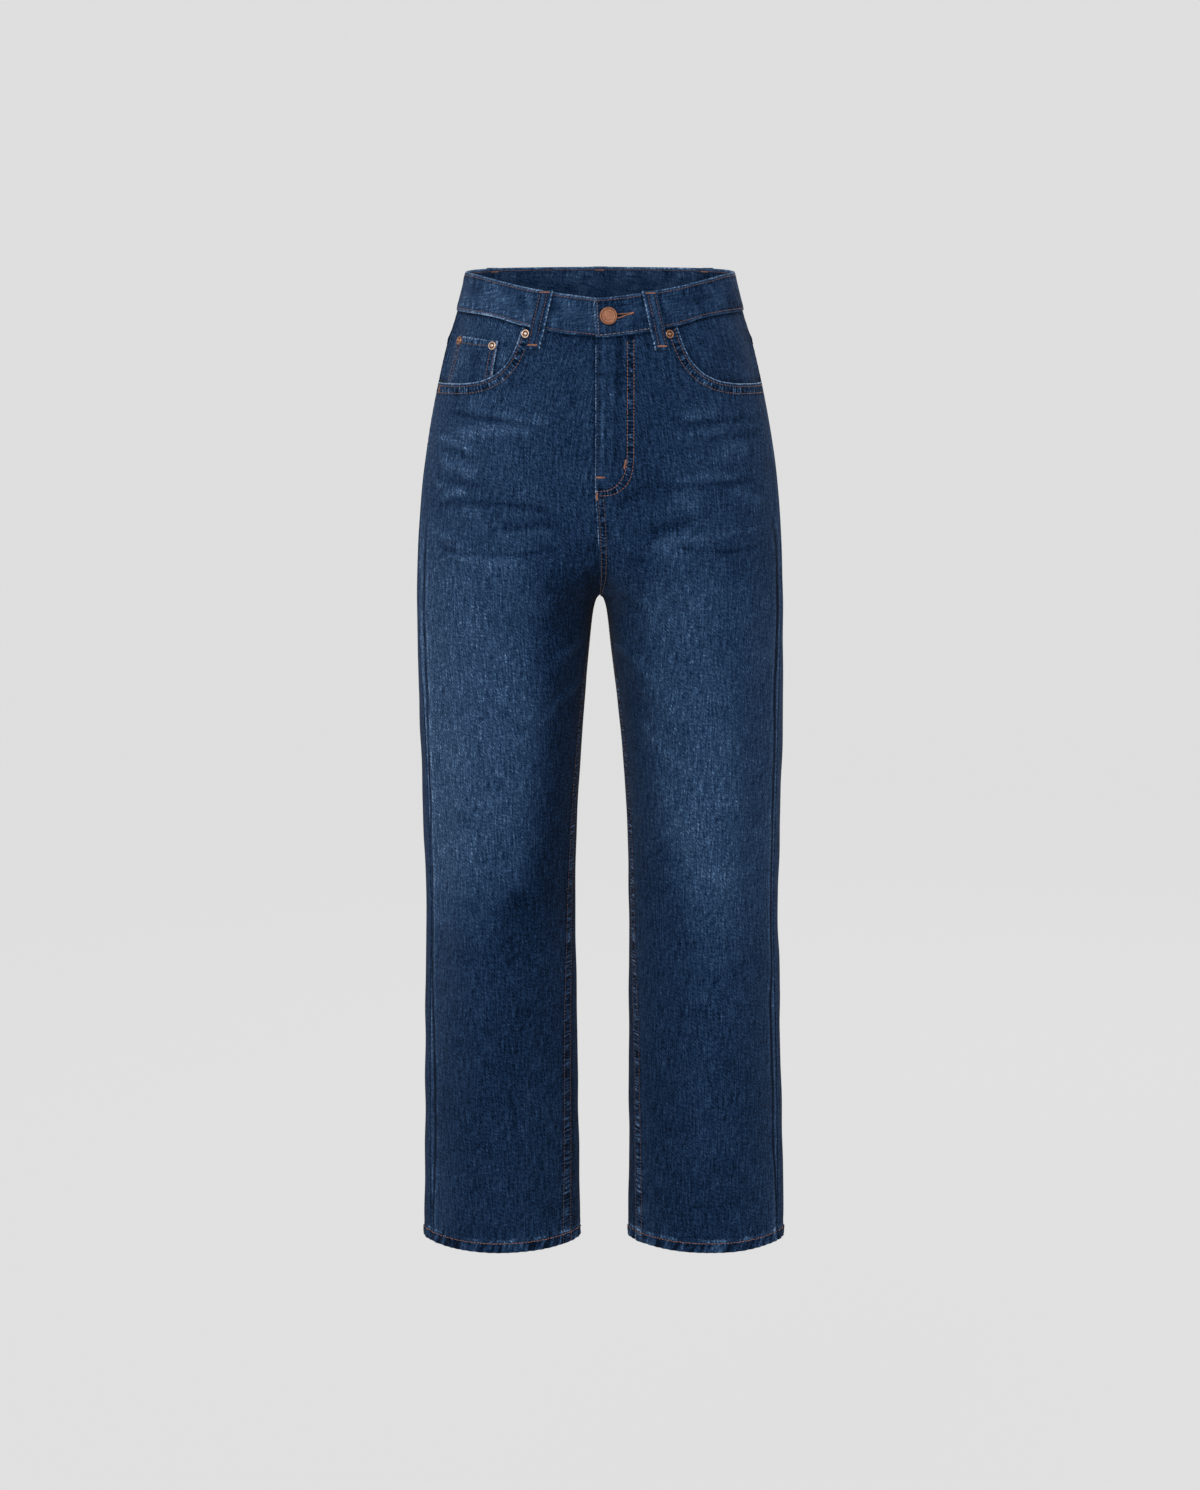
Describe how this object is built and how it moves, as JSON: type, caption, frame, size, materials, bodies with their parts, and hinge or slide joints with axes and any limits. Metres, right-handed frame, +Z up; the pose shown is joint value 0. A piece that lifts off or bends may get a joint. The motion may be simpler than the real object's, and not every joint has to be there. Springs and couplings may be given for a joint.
{
  "type": "straight leg jeans",
  "caption": "Straight leg five-pocket denim jeans, filled out and hollow, with a button-and-fly waistband, scoop pockets, yoke and open waist and hems.",
  "frame": {"origin": "middle of the waist opening, level with the top edge at the front", "axes": "+Z up the body through the waist, -Y the front, +X the wearer's left"},
  "size_m": [0.3715, 0.233, 0.9831],
  "materials": {
    "denim": "washed indigo twill, matt, faded on the thighs and along the seams",
    "copper": "brushed antique copper"
  },
  "bodies": {
    "root": {"front_panel_left": "denim", "front_panel_right": "denim", "back_panel_left": "denim", "back_panel_right": "denim", "back_yoke_left": "denim", "back_yoke_right": "denim", "waistband": "denim", "pocket_facing_left": "denim", "pocket_facing_right": "denim", "coin_pocket": "denim", "back_pocket_left": "denim", "back_pocket_right": "denim", "belt_loop_front_right": "denim", "belt_loop_front_left": "denim", "belt_loop_side_back_right": "denim", "belt_loop_side_back_left": "denim", "belt_loop_centre_back": "denim", "waist_button": "copper", "rivet_mouth_right": "copper", "rivet_mouth_left": "copper", "rivet_coin_inner": "copper", "rivet_coin_outer": "copper"}
  },
  "joints": []
}
